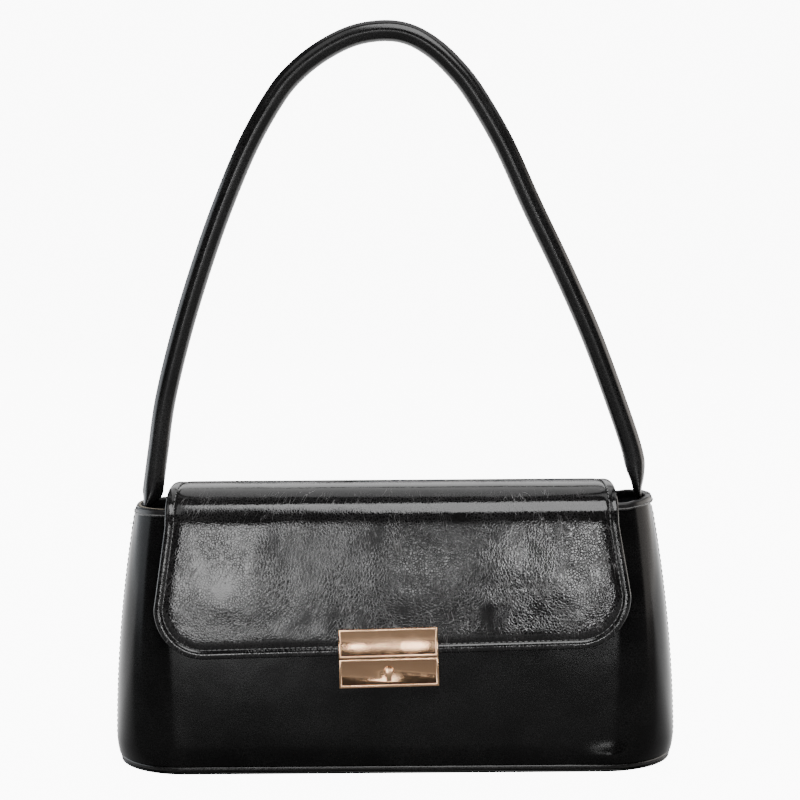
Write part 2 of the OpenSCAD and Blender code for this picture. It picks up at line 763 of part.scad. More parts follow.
// Point of a smooth curve through the handle's points, at a share of the whole row.
function curve(list, share) =
    let (n = len(list) - 1, f = min(share * n, n - 0.0001), i = floor(f), t = f - i,
         p0 = list[max(i - 1, 0)], p1 = list[i], p2 = list[i + 1], p3 = list[min(i + 2, n)])
    0.5 * (2 * p1 + (p2 - p0) * t + (2 * p0 - 5 * p1 + 4 * p2 - p3) * t * t
        + (3 * p1 - p0 - 3 * p2 + p3) * t * t * t);
function handle_at(share) =
    let (p = curve(handle_shape, share)) [foot_x * p[0], pivot_z + handle_rise * p[1]];
function handle_along(share) =
    let (q = handle_at(max(share - 0.004, 0)), r = handle_at(min(share + 0.004, 1))) (r - q) / norm(r - q);

// How round the handle is at a share of its path: 0 flat, 1 round.
function roundness(share) =
    let (e = min(share, 1 - share), t = min(max((e - flat_share) / (round_share - flat_share), 0), 1))
    t * t * (3 - 2 * t);

// Ring round a point, with half thicknesses in the plane of the loop and across it.
function ring(p, t, half_in, half_across, sides) =
    [for (k = [0:sides - 1]) let (a = 360 * k / sides)
        [p[0] - t[1] * half_in * cos(a), half_across * sin(a), p[1] + t[0] * half_in * cos(a)]];

handle_sides = 14;
handle_rings = 60;
module handle_solid() {
    half_tab = tab_w / 2;
    end_angles = [80, 60, 40, 20];
    up = [for (a = end_angles)
        ring([-left_foot_x, pivot_z - half_tab * sin(a)], [0, 1], tab_t / 2, half_tab * cos(a),
             handle_sides)];
    loop = [for (i = [0:handle_rings])
        let (s = i / handle_rings, k = roundness(s))
        ring(handle_at(s), i == 0 ? [0, 1] : i == handle_rings ? [0, -1] : handle_along(s),
             tab_t / 2 + (handle_d - tab_t) / 2 * k, tab_w / 2 + (handle_d - tab_w) / 2 * k, handle_sides)];
    down = [for (a = reversed(end_angles))
        ring([foot_x, pivot_z - half_tab * sin(a)], [0, -1], tab_t / 2, half_tab * cos(a), handle_sides)];
    loft(concat(up, loop, down));
}

// Round cord of a radius inside the handle, between its two flat ends.
module core_solid(r) {
    rings = 44;
    loft([for (i = [0:rings]) let (s = core_share + (1 - 2 * core_share) * i / rings)
        ring(handle_at(s), handle_along(s), r, r, 12)]);
}

// Leather sleeve of the handle, sewn into a tube and pressed flat at both ends.
module handle_sleeve() {
    color(leather_colour)
    difference() {
        handle_solid();
        core_solid(handle_d / 2 - sleeve_t);
    }
}

// Soft cord that fills the sleeve.
module handle_core() {
    color(cloth_colour) core_solid(handle_d / 2 - sleeve_t - layer_gap);
}

// Inside of the lining at a height, as seen by a flat strip whose edges reach into the rounded corners.
function inner_wall_x(z, half) =
    let (r = corner_r(z) - wall_t, into = max(half - (half_d(z) - corner_r(z)), 0))
    half_w(z) - wall_t - (r - sqrt(r * r - into * into)) - 4 * layer_gap;

// Flat end of the handle's leather that is sewn to the lining inside the bag.
module handle_tab(side) {
    top = pivot_z - tab_w / 2 - tab_gap;
    thick = tab_t - 0.8;
    start_x = (side < 0 ? left_foot_x : foot_x) + thick / 2;
    rows = [0, 0.12, 0.25, 0.4, 0.7, 0.9, 1];
    color(leather_colour) mirror([side < 0 ? 1 : 0, 0, 0])
    loft([for (s = rows)
        let (z = top - tab_len * s, ease = max(1 - s / 0.4, 0), half = tab_w / 2 - (s > 0.9 ? 2 : 0),
             x = inner_wall_x(z, tab_w / 2) + (start_x - inner_wall_x(top, tab_w / 2)) * ease)
        [[x - thick, -half, z], [x, -half, z], [x, half, z], [x - thick, half, z]]]);
}

module handle_tab_left() { handle_tab(-1); }
module handle_tab_right() { handle_tab(1); }

front_panel();
back_panel();
side_strip_left();
side_strip_right();
rim_binding();
front_board();
back_board();
wall_lining();
base_panel();
base_piping();
base_board();
base_lining();
flap_tail();
flap_top_leather();
flap_top_lining();
flap_front_leather();
flap_front_board();
flap_front_lining();
lock_upper_plate();
lock_flap_washer();
lock_rivets();
lock_striker();
lock_housing();
lock_back_cover();
lock_screws();
lock_button();
lock_catch();
lock_springs();
handle_sleeve();
handle_core();
handle_tab_left();
handle_tab_right();
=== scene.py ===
import math

import bpy
import numpy as np
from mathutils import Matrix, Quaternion, Vector


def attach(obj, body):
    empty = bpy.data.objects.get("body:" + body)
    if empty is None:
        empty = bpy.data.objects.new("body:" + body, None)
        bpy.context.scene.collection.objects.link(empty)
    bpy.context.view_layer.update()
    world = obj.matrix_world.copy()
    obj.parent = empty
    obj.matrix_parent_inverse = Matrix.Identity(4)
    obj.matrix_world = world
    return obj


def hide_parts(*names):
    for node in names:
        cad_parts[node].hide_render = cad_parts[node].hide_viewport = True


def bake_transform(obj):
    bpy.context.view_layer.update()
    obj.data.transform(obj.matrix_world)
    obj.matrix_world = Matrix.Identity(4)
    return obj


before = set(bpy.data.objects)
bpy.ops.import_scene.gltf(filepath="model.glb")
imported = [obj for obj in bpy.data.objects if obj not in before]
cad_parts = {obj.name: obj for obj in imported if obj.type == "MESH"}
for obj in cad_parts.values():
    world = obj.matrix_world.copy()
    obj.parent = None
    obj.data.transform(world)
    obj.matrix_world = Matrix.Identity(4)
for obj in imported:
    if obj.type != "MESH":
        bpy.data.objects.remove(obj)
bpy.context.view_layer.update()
MM = 0.001

# The photograph's view: 0.95 m in front of the bag, a little above the handle's middle.
# The camera looks slightly down and is turned a little about its line of sight.
camera_pitch, camera_roll = math.radians(5.497), math.radians(-0.42)
camera_data = bpy.data.cameras.new("camera")
camera_data.lens = 86.5
camera_data.sensor_width = 36
camera = bpy.data.objects.new("camera", camera_data)
bpy.context.collection.objects.link(camera)
camera.location = (3.6 * MM, -950 * MM, 270 * MM)
camera.rotation_mode = "QUATERNION"
look = Vector((0, math.cos(camera_pitch), -math.sin(camera_pitch)))
camera.rotation_quaternion = look.to_track_quat("-Z", "Y") @ Quaternion((0, 0, 1), camera_roll)
camera.rotation_mode = "XYZ"
bpy.context.scene.camera = camera

# Front of the bag: glossy waxed leather over a stiff board. It runs from side seam to side seam
# and is held by the binding above and the piping below.
base_w, base_d = 279 * MM, 80 * MM
mouth_w, mouth_d = 255 * MM, 46 * MM
body_h = 128.5 * MM
base_corner_r, mouth_corner_r = 36 * MM, 20 * MM
tuck, tuck_h = 2.2 * MM, 14 * MM
lean = math.atan((base_d - mouth_d) / 2 / body_h)
wall_foot = 4.2 * MM
wall_top = body_h - 0.55 * MM
# Shares of the front's outline, counted from a side seam: where the flat side and the round corner
# end, and how long the corner and half of the flat front are.
side_end, corner_end = 0.08, 0.28
corner_share, front_share = 0.2, 0.22
# A soft knock low on the right of the front, which catches the light.
knock_x, knock_z, knock_w, knock_h, knock_in = 104 * MM, 7.5 * MM, 11 * MM, 4 * MM, 1.1 * MM
wall_swell = 0.35 * MM


def tuck_at(z):
    return tuck * max(1 - z / tuck_h, 0) ** 2


def half_w(z):
    return base_w / 2 - (base_w - mouth_w) / 2 * (z / body_h) ** 2 - tuck_at(z)


def flat_y(z):
    return base_d / 2 - (base_d - mouth_d) / 2 * z / body_h


def wall_at(share, z, inset):
    """Point of the front half of the wall: share 0 is the left seam, 1 the right one."""
    r = base_corner_r + (mouth_corner_r - base_corner_r) * z / body_h - inset
    w = half_w(z) - inset
    d = flat_y(z) - tuck_at(z) - inset
    side = min(share, 1 - share)
    if side < side_end:
        x, y = w, (d - r) * side / side_end
    elif side < corner_end:
        a = math.radians(90) * (side - side_end) / corner_share
        x, y = w - r + r * math.cos(a), d - r + r * math.sin(a)
    else:
        x, y = (w - r) * (0.5 - side) / front_share, d
    return Vector((x if share > 0.5 else -x, -y, z))


def shaped_grid(name, columns, rows, place, closed=False):
    """A grid primitive whose points are set out over a surface; closed joins its two sides."""
    bpy.ops.object.select_all(action="DESELECT")
    bpy.ops.mesh.primitive_grid_add(x_subdivisions=columns, y_subdivisions=rows, size=1)
    piece = bpy.context.object
    piece.name = name
    for v in piece.data.vertices:
        v.co = place(v.co.x + 0.5, v.co.y + 0.5)
    if closed:
        bpy.ops.object.mode_set(mode="EDIT")
        bpy.ops.mesh.select_all(action="SELECT")
        bpy.ops.mesh.remove_doubles(threshold=0.00001)
        bpy.ops.object.mode_set(mode="OBJECT")
    bpy.ops.object.shade_smooth()
    return piece


def face_out(piece, flip=False):
    """Turns all faces one way, or the other way if flip is set."""
    bpy.context.view_layer.objects.active = piece
    bpy.ops.object.mode_set(mode="EDIT")
    bpy.ops.mesh.select_all(action="SELECT")
    bpy.ops.mesh.normals_make_consistent(inside=False)
    if flip:
        bpy.ops.mesh.flip_normals()
    bpy.ops.object.mode_set(mode="OBJECT")


def face_towards(piece, face, way):
    """Turns all faces one way, so that the given face looks the given way."""
    face_out(piece)
    if piece.data.polygons[face].normal.dot(way) < 0:
        face_out(piece, flip=True)


def thicken(piece, thickness, offset=-1):
    """Gives a sheet its thickness, inwards from its outer face."""
    bpy.context.view_layer.objects.active = piece
    solid = piece.modifiers.new("thickness", "SOLIDIFY")
    solid.thickness = thickness
    solid.offset = offset
    solid.use_even_offset = False
    bpy.ops.object.modifier_apply(modifier="thickness")
    bpy.ops.object.shade_smooth_by_angle(angle=math.radians(50))


def fill(tree, target, sockets):
    """Fills a node's inputs. Each value is a number, a colour, or another node's output to link."""
    for key, value in sockets.items():
        if isinstance(value, bpy.types.NodeSocket):
            tree.links.new(value, target.inputs[key])
        else:
            target.inputs[key].default_value = value


def node(tree, kind, sockets=None, **settings):
    """Adds a node with its inputs filled."""
    made = tree.nodes.new(kind)
    for key, value in settings.items():
        setattr(made, key, value)
    fill(tree, made, sockets or {})
    return made


def object_place(tree):
    return node(tree, "ShaderNodeTexCoord").outputs["Object"]


def new_material(name):
    """A new material, its node tree and its shader."""
    material = bpy.data.materials.new(name)
    material.use_nodes = True
    return material, material.node_tree, material.node_tree.nodes["Principled BSDF"]


def math_node(tree, operation, a, b=0.0, clamp=False):
    return node(tree, "ShaderNodeMath", {0: a, 1: b}, operation=operation, use_clamp=clamp).outputs[0]


def ramp_between(tree, value, low, high, to_low=0.0, to_high=1.0):
    return node(tree, "ShaderNodeMapRange", {0: value, 1: low, 2: high, 3: to_low, 4: to_high}).outputs[0]


def new_group(name, inputs, outputs):
    """An empty node group with number inputs and named outputs."""
    tree = bpy.data.node_groups.new(name, "ShaderNodeTree")
    for label, value in inputs:
        socket = tree.interface.new_socket(label, in_out="INPUT", socket_type="NodeSocketFloat")
        socket.default_value = value
    for label, kind in outputs:
        tree.interface.new_socket(label, in_out="OUTPUT", socket_type=kind)
    return tree, tree.nodes.new("NodeGroupInput"), tree.nodes.new("NodeGroupOutput")


# Waxed leather: broad dents, a fine grain, and short pale cracks of the wax in loose patches.
# Heights are shares of the bump's depth. The tones and dullness of cracks add to the plain leather's.
crack_height, net_height, grain_share, dent_share = 0.12, 0.055, 0.02, 2.4
crack_tone, net_tone, crack_dullness = 0.17, 0.03, 0.2
crack_width, bump_depth = 0.014, 0.00022
waxed, wax_in, wax_out = new_group(
    "waxed_leather",
    [("Cracks", 1.0), ("Grain", 1.0), ("Dents", 1.0), ("Darkness", 0.01), ("Gloss", 0.25)],
    [("Color", "NodeSocketColor"), ("Roughness", "NodeSocketFloat"), ("Height", "NodeSocketFloat")])
wax_place = object_place(waxed)
sway = node(waxed, "ShaderNodeTexNoise", {"Vector": wax_place, "Scale": 110.0, "Detail": 2.0})
sway_small = node(waxed, "ShaderNodeVectorMath", {0: sway.outputs["Color"], 1: (0.0016, 0.0016, 0.0016)},
                  operation="MULTIPLY")
bent = node(waxed, "ShaderNodeVectorMath", {0: wax_place, 1: sway_small.outputs[0]},
            operation="ADD").outputs[0]


def wax_math(operation, a, b=0.0, clamp=False):
    return math_node(waxed, operation, a, b, clamp)


def patches(scale, low, high, to_low=0.0, to_high=1.0):
    """Soft patches over the leather."""
    cloud = node(waxed, "ShaderNodeTexNoise", {"Vector": wax_place, "Scale": scale, "Detail": 2.0})
    return ramp_between(waxed, cloud.outputs["Fac"], low, high, to_low, to_high)


def crack_lines(angle, scale):
    """Long fine lines of one direction: where a stretched cloud passes its middle value."""
    turned = node(waxed, "ShaderNodeMapping", {"Vector": bent, "Rotation": (0.0, angle, 0.0),
                                               "Scale": (1.0, 7.0, 7.0)}, vector_type="TEXTURE")
    cloud = node(waxed, "ShaderNodeTexNoise", {"Vector": turned.outputs[0], "Scale": scale, "Detail": 1.5})
    off = wax_math("ABSOLUTE", wax_math("SUBTRACT", cloud.outputs["Fac"], 0.5))
    return ramp_between(waxed, off, 0.0, crack_width, 1.0, 0.0)


across = node(waxed, "ShaderNodeSeparateXYZ", {0: wax_place}).outputs[0]
rising = wax_math("ADD", patches(24.0, 0.4, 0.6, -0.2, 1.2),
                  ramp_between(waxed, across, -0.07, 0.03, 0.5, -0.3), clamp=True)
falling = wax_math("SUBTRACT", 1.0, rising)
rising_lines = wax_math("MULTIPLY", crack_lines(0.55, 420.0), rising)
falling_lines = wax_math("MULTIPLY", crack_lines(-0.25, 460.0), falling)
long_lines = wax_math("MAXIMUM", rising_lines, falling_lines)
broken = wax_math("MULTIPLY", long_lines, patches(110.0, 0.45, 0.58))
thinned = wax_math("MULTIPLY", broken, patches(32.0, 0.38, 0.6, 0.2, 1.0))
cracks = wax_math("MULTIPLY", thinned, wax_in.outputs["Cracks"])
cells = node(waxed, "ShaderNodeTexVoronoi", {"Vector": bent, "Scale": 800.0}, feature="DISTANCE_TO_EDGE")
cell_edges = ramp_between(waxed, cells.outputs["Distance"], 0.0, 0.2, 1.0, 0.0)
net = wax_math("MULTIPLY", cell_edges, patches(60.0, 0.35, 0.6, 0.35, 1.0))
fine_net = wax_math("MULTIPLY", net, wax_in.outputs["Grain"])
grain = node(waxed, "ShaderNodeTexNoise", {"Vector": wax_place, "Scale": 1700.0, "Detail": 3.0})
grain_height = wax_math("MULTIPLY", wax_math("MULTIPLY", grain.outputs["Fac"], grain_share),
                        wax_in.outputs["Grain"])
dents = node(waxed, "ShaderNodeTexNoise", {"Vector": wax_place, "Scale": 42.0, "Detail": 1.5})
dent_height = wax_math("MULTIPLY", wax_math("MULTIPLY", dents.outputs["Fac"], dent_share),
                       wax_in.outputs["Dents"])
ridges = wax_math("ADD", wax_math("MULTIPLY", cracks, crack_height),
                  wax_math("MULTIPLY", fine_net, net_height))
relief = wax_math("ADD", wax_math("ADD", ridges, grain_height), dent_height)
tone = patches(18.0, 0.3, 0.7)
dark = wax_math("MULTIPLY", wax_in.outputs["Darkness"], wax_math("ADD", tone, 0.5))
pale = wax_math("ADD", wax_math("ADD", dark, wax_math("MULTIPLY", cracks, crack_tone)),
                wax_math("MULTIPLY", fine_net, net_tone))
colour = node(waxed, "ShaderNodeCombineColor", {0: pale, 1: wax_math("MULTIPLY", pale, 0.97),
                                                2: wax_math("MULTIPLY", pale, 0.98)})
uneven = node(waxed, "ShaderNodeMath", {0: tone, 1: 0.06, 2: -0.03}, operation="MULTIPLY_ADD").outputs[0]
rough = wax_math("ADD", wax_in.outputs["Gloss"],
                 wax_math("ADD", wax_math("MULTIPLY", cracks, crack_dullness), uneven))
fill(waxed, wax_out, {"Color": colour.outputs[0], "Roughness": rough, "Height": relief})


def waxed_leather(name, cracks, grain, dents, darkness, gloss, ior=1.5):
    """Black waxed leather for one piece of the bag."""
    material, tree, shader = new_material(name)
    look = node(tree, "ShaderNodeGroup", node_tree=waxed)
    fill(tree, look, {"Cracks": cracks, "Grain": grain, "Dents": dents, "Darkness": darkness, "Gloss": gloss})
    bump = node(tree, "ShaderNodeBump", {"Height": look.outputs["Height"], "Strength": 1.0,
                                         "Distance": bump_depth})
    fill(tree, shader, {"Base Color": look.outputs["Color"], "Roughness": look.outputs["Roughness"],
                        "Normal": bump.outputs[0], "IOR": ior})
    return material


body_leather = waxed_leather("body_leather", 0.03, 0.25, 0.3, 0.003, 0.16, ior=1.27)


def wall_sheet(name, side):
    """Leather of one half of the wall; side is 1 for the front and -1 for the back."""
    def place(across, up):
        z = wall_foot + (wall_top - wall_foot) * (up ** 1.25)
        p = wall_at(across, z, 0)
        swell = wall_swell * math.sin(math.pi * min(max((z - 10 * MM) / (body_h - 20 * MM), 0), 1))
        swell *= math.sin(math.pi * across) ** 2 * (1 if side < 0 else 0.4)
        knock = math.exp(-((p.x - knock_x) / knock_w) ** 2 - ((z - knock_z) / knock_h) ** 2)
        p.y -= swell + (knock_in * knock if side > 0 else 0)
        return Vector((p.x, p.y * side, p.z))

    columns, rows = 220, 64
    piece = shaped_grid(name, columns, rows, place)
    face_towards(piece, (columns * rows + columns) // 2, Vector((0, -side, 0)))
    thicken(piece, 1 * MM)
    piece.data.materials.append(body_leather)
    return piece


def cut_away(piece, cutter):
    """Cuts a closed shape out of a piece."""
    bpy.context.view_layer.objects.active = piece
    cut = piece.modifiers.new("cut", "BOOLEAN")
    cut.operation = "DIFFERENCE"
    cut.solver = "EXACT"
    cut.object = cutter
    bpy.ops.object.modifier_apply(modifier="cut")
    bpy.data.objects.remove(cutter)


lock_shift, lock_z = 2.8 * MM, 56.5 * MM
window_w, window_d, window_h, window_z = 18.3 * MM, 8 * MM, 24.8 * MM, -0.75 * MM
flap_skew = math.radians(1.2)


def to_lock(p):
    """A point in the lock's own frame, Y inwards and Z up along the wall, put into the bag's frame."""
    x, y, z = p
    c, s = math.cos(flap_skew), math.sin(flap_skew)
    x, z = x * c - z * s, x * s + z * c
    c, s = math.cos(lean), math.sin(lean)
    y, z = y * c + z * s, -y * s + z * c
    return Vector((x - lock_shift, y - flat_y(lock_z), z + lock_z))


def lock_window():
    """A block that cuts the opening for the lock's case."""
    bpy.ops.object.select_all(action="DESELECT")
    bpy.ops.mesh.primitive_cube_add(size=1)
    window = bpy.context.object
    for v in window.data.vertices:
        v.co = to_lock((v.co.x * window_w, v.co.y * window_d, window_z + v.co.z * window_h))
    face_out(window)
    return window


front_leather = wall_sheet("front_leather", 1)
cut_away(front_leather, lock_window())
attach(front_leather, "root")
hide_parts("front_panel")

# Back of the bag: the same leather in one piece, with no opening.
# The tail of the flap is sewn over its upper part.
back_leather = wall_sheet("back_leather", -1)
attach(back_leather, "root")
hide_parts("back_panel")

# Raised strips over the side seams: narrow folded leather, glued on and sewn along both edges.
# They end under the binding at the rim.
trim_leather = waxed_leather("trim_leather", 0.2, 0.6, 0.3, 0.006, 0.28)
seam_w, seam_t = 6 * MM, 0.7 * MM
binding_h = 3.4 * MM


def side_strip(name, side):
    def place(across, up):
        z = wall_foot + (body_h - binding_h - wall_foot) * up
        rise = seam_t * (1 - abs(2 * across - 1) ** 5) + 0.03 * MM
        rise -= 0.22 * MM * math.exp(-((abs(2 * across - 1) - 0.66) / 0.1) ** 2)
        return Vector((side * (half_w(z) + rise), seam_w * (across - 0.5), z))

    columns, rows = 24, 60
    piece = shaped_grid(name, columns, rows, place)
    face_towards(piece, (columns * rows + columns) // 2, Vector((side, 0, 0)))
    thicken(piece, 0.4 * MM)
    piece.data.materials.append(trim_leather)
    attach(piece, "root")
    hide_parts("side_strip_left" if side < 0 else "side_strip_right")
    return piece


side_strip("left_seam_strip", -1)
side_strip("right_seam_strip", 1)

# Stitches: waxed black thread, each stitch a short bead sunk into the leather at both ends.
# Two rows hold each side strip, and the binding and the flap are sewn with the same thread.
thread, thread_tree, thread_shader = new_material("waxed_thread")
fibres = node(thread_tree, "ShaderNodeTexWave", {"Vector": object_place(thread_tree), "Scale": 1400.0,
                                                 "Distortion": 3.0}, bands_direction="DIAGONAL")
fibre_tone = ramp_between(thread_tree, fibres.outputs["Fac"], 0.0, 1.0, 0.04, 0.3)
fibre_bump = node(thread_tree, "ShaderNodeBump", {"Height": fibres.outputs["Fac"], "Distance": 0.00008})
fill(thread_tree, thread_shader, {"Base Color": fibre_tone, "Normal": fibre_bump.outputs[0],
                                  "Roughness": 0.25, "Sheen Weight": 0.3})
seam_stitches, seam_row, seam_first, seam_gap = 44, 0.33, 3, 2.65
stitch_sunk = 0.12 * MM


def stitch_row(name, spots, length=2.0 * MM, width=0.6 * MM, height=0.6 * MM):
    """A row of stitches. Each spot is a point, the way the seam runs there, and the way out."""
    bpy.ops.object.select_all(action="DESELECT")
    bpy.ops.mesh.primitive_uv_sphere_add(segments=8, ring_count=6, radius=0.5)
    bead = bpy.context.object
    points = np.array([v.co[:] for v in bead.data.vertices]) * (width, height, length)
    faces = [tuple(p.vertices) for p in bead.data.polygons]
    bpy.data.objects.remove(bead)
    verts, polys = [], []
    for centre, along, out in spots:
        along = Vector(along).normalized()
        out = (Vector(out) - along * Vector(out).dot(along)).normalized()
        across = along.cross(out)
        base = np.array([across[:], out[:], along[:]])
        start = len(verts)
        verts.extend((points @ base + np.array(centre[:])).tolist())
        polys.extend([tuple(i + start for i in f) for f in faces])
    mesh = bpy.data.meshes.new(name)
    mesh.from_pydata(verts, [], polys)
    row = bpy.data.objects.new(name, mesh)
    bpy.context.collection.objects.link(row)
    face_out(row)
    mesh.polygons.foreach_set("use_smooth", [True] * len(mesh.polygons))
    row.data.materials.append(thread)
    return row


def seam_spots(side):
    spots = []
    for edge in (-seam_row, seam_row):
        for i in range(seam_stitches):
            z = wall_foot + (seam_first + i * seam_gap) * MM
            along = Vector((side * (half_w(z + MM) - half_w(z)), 0, MM))
            out = Vector((side, 0, 0.1))
            spots.append((Vector((side * (half_w(z) + seam_t - stitch_sunk), edge * seam_w, z)), along, out))
    return spots


side_stitches = stitch_row("side_stitches", seam_spots(-1) + seam_spots(1))
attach(side_stitches, "root")

# Loose thread: one end sticks out at the left seam, and a small knot lies at the left end of the rim.
# Each is two stitches of the same thread, laid at an angle to each other.
loose_ends = stitch_row("loose_thread", [
    (Vector((-130.2, -1.6, 118)) * MM, (-1, 0, 0.05), (0, -1, 0)),
    (Vector((-128.3, -1.4, 117.4)) * MM, (-0.6, 0, 0.8), (-1, 0, 0)),
    (Vector((-127.2, -9, 126.2)) * MM, (0.3, 0.2, 1), (-1, 0, 0)),
    (Vector((-126.8, -11, 126.8)) * MM, (1, 0.4, 0.3), (-1, 0, 0))], 3.2 * MM, 0.5 * MM, 0.5 * MM)
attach(loose_ends, "root")

# Stiff boards between leather and lining, and in the base: plain grey-brown fibre board.
# They are hidden in the walls and keep the bag standing.
fibre_board, board_tree, board_shader = new_material("fibre_board")
flecks = node(board_tree, "ShaderNodeTexNoise", {"Vector": object_place(board_tree), "Scale": 900.0,
                                                 "Detail": 5.0})


def colour_between(tree, value, low, high):
    """A colour between two others, by a value from 0 to 1."""
    mix = node(tree, "ShaderNodeMix", {0: value, 6: (*low, 1), 7: (*high, 1)}, data_type="RGBA")
    return mix.outputs[2]


board_tone = colour_between(board_tree, flecks.outputs["Fac"], (0.3, 0.26, 0.2), (0.46, 0.41, 0.33))
board_bump = node(board_tree, "ShaderNodeBump", {"Height": flecks.outputs["Fac"], "Distance": 0.0001})
fill(board_tree, board_shader, {"Base Color": board_tone, "Normal": board_bump.outputs[0], "Roughness": 0.85})


def finish_node(name, material):
    """Gives a carried-over part its material."""
    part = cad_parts[name]
    part.data.materials.clear()
    part.data.materials.append(material)


for name in ("front_board", "back_board", "base_board", "flap_front_board"):
    finish_node(name, fibre_board)

# Lining: fine black twill, glued along the rim and loose enough below to ripple a little.
# One ring follows the walls and a flat piece lies on the base.
twill, twill_tree, twill_shader = new_material("black_twill")
twill_turn = node(twill_tree, "ShaderNodeMapping", {"Vector": object_place(twill_tree),
                                                    "Rotation": (0.5, 0.8, 0.8)})
ribs = node(twill_tree, "ShaderNodeTexWave", {"Vector": twill_turn.outputs[0], "Scale": 420.0,
                                              "Distortion": 0.6, "Detail": 1.0})
twill_tone = colour_between(twill_tree, ribs.outputs["Fac"], (0.006, 0.006, 0.007), (0.02, 0.02, 0.023))
twill_bump = node(twill_tree, "ShaderNodeBump", {"Height": ribs.outputs["Fac"], "Distance": 0.00015})
fill(twill_tree, twill_shader, {"Base Color": twill_tone, "Normal": twill_bump.outputs[0],
                                "Roughness": 0.7, "Sheen Weight": 0.2})
lining_foot, lining_in, lining_ripple = 6 * MM, 2.15 * MM, 0.35 * MM


def outline_at(share, z, inset):
    """Point of the whole outline of the bag, once round."""
    front = share < 0.5
    p = wall_at(share * 2 if front else 2 - share * 2, z, inset)
    return Vector((p.x, p.y if front else -p.y, z))


def lining_place(across, up):
    z = lining_foot + (wall_top - lining_foot) * up
    ripple = lining_ripple * math.sin(across * 90 + 3 * math.sin(up * 5)) * math.sin(math.pi * up)
    return outline_at(across, z, lining_in + abs(ripple))


wall_cloth = shaped_grid("wall_cloth", 260, 30, lining_place, closed=True)
face_out(wall_cloth)
thicken(wall_cloth, 0.25 * MM, 0)
wall_cloth.data.materials.append(twill)
cut_away(wall_cloth, lock_window())
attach(wall_cloth, "root")
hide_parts("wall_lining")

base_cloth_z, base_cloth_ripple = 4.1 * MM, 0.25 * MM


def base_cloth_place(across, up):
    edge = outline_at(across, 10 * MM, 5 * MM)
    reach = 1 - up
    z = base_cloth_z + base_cloth_ripple * math.sin(across * 40) * reach * (1 - reach)
    return Vector((edge.x * reach, edge.y * reach, z))


base_cloth = shaped_grid("base_cloth", 160, 24, base_cloth_place, closed=True)
face_out(base_cloth)
thicken(base_cloth, 0.4 * MM)
base_cloth.data.materials.append(twill)
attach(base_cloth, "root")
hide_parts("base_lining")

# Binding: a strip of thin leather folded over the rim and sewn through all layers below it.
# It lies a little unevenly, lower at the left end of the mouth and higher at the right.
rim_profile = [(-0.56, -3.4), (-0.62, -2.4), (-0.64, -1.2), (-0.5, -0.35), (0.0, 0.02), (0.9, 0.14),
               (1.8, 0.1), (2.5, -0.1), (2.95, -0.6), (3.0, -1.6), (2.96, -3.4)]
uneven_from, uneven_over = 85 * MM, 42 * MM
rim_drop, rim_rise, rim_end_rise = 1.1 * MM, 1.5 * MM, 1.2 * MM


def rim_lift(x):
    """How far the rim lies below its mean height at the left and above it at the right."""
    out = max((abs(x) - uneven_from) / uneven_over, 0)
    if x < 0:
        return -rim_drop * out
    return rim_rise * out + rim_end_rise * max(out - 0.7, 0) / 0.3


def binding_place(across, up):
    f = up * (len(rim_profile) - 1)
    i = min(int(f), len(rim_profile) - 2)
    t = f - i
    inset = (rim_profile[i][0] * (1 - t) + rim_profile[i + 1][0] * t) * MM
    drop = (rim_profile[i][1] * (1 - t) + rim_profile[i + 1][1] * t) * MM
    z = body_h + drop
    p = outline_at(across, min(z, body_h), inset)
    wave = 0.12 * MM * math.sin(across * 75 + 1.3) + 0.08 * MM * math.sin(across * 211)
    return Vector((p.x, p.y, z + wave + rim_lift(p.x)))


rim_leather = shaped_grid("rim_leather", 420, 30, binding_place, closed=True)
face_out(rim_leather)
thicken(rim_leather, 0.35 * MM)
rim_leather.data.materials.append(trim_leather)
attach(rim_leather, "root")
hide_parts("rim_binding")

rim_stitch_count, rim_row_z, rim_row_in = 226, body_h - 2.6 * MM, -0.72 * MM
rim_spots = []
for i in range(rim_stitch_count):
    share = (i + 0.5) / rim_stitch_count
    here = outline_at(share, rim_row_z, rim_row_in)
    there = outline_at(share + 0.001, rim_row_z, rim_row_in)
    out = here - outline_at(share, rim_row_z, 2 * MM)
    rim_spots.append((here + Vector((0, 0, rim_lift(here.x))), there - here, out))
rim_stitches = stitch_row("rim_stitches", rim_spots)
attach(rim_stitches, "root")

# Base: one piece of leather under the board, with its edge rolled.
# Round piping covers the joint between base and wall.
base_inset, base_roll = 1.9 * MM, 0.65 * MM
piping_r, piping_z = 1.5 * MM, 2.6 * MM


def base_place(across, up):
    # The rolled edge takes the first four fifths of the rows, the flat underside the rest.
    f = min(up * 1.25, 1)
    reach = 1 if f < 1 else 1 - (up - 0.8) / 0.2
    a = math.pi * f
    bulge = base_roll * math.sin(a)
    edge = outline_at(across, 0.0, base_inset - tuck + base_roll - bulge)
    z = base_roll + base_roll * math.cos(a)
    return Vector((edge.x * reach, edge.y * reach, z))


base_leather = shaped_grid("base_leather", 200, 40, base_place, closed=True)
face_out(base_leather)
base_leather.data.materials.append(body_leather)
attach(base_leather, "root")
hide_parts("base_panel")


def piping_place(across, up):
    a = 2 * math.pi * up
    r = piping_r * (1 + 0.03 * math.sin(across * 300))
    edge = outline_at(across, 0.0, base_inset - tuck + piping_r - 0.4 * MM + r * math.cos(a))
    return Vector((edge.x, edge.y, piping_z + r * math.sin(a)))


piping = shaped_grid("foot_piping", 360, 14, piping_place, closed=True)
face_out(piping)
piping.data.materials.append(trim_leather)
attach(piping, "root")
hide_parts("base_piping")

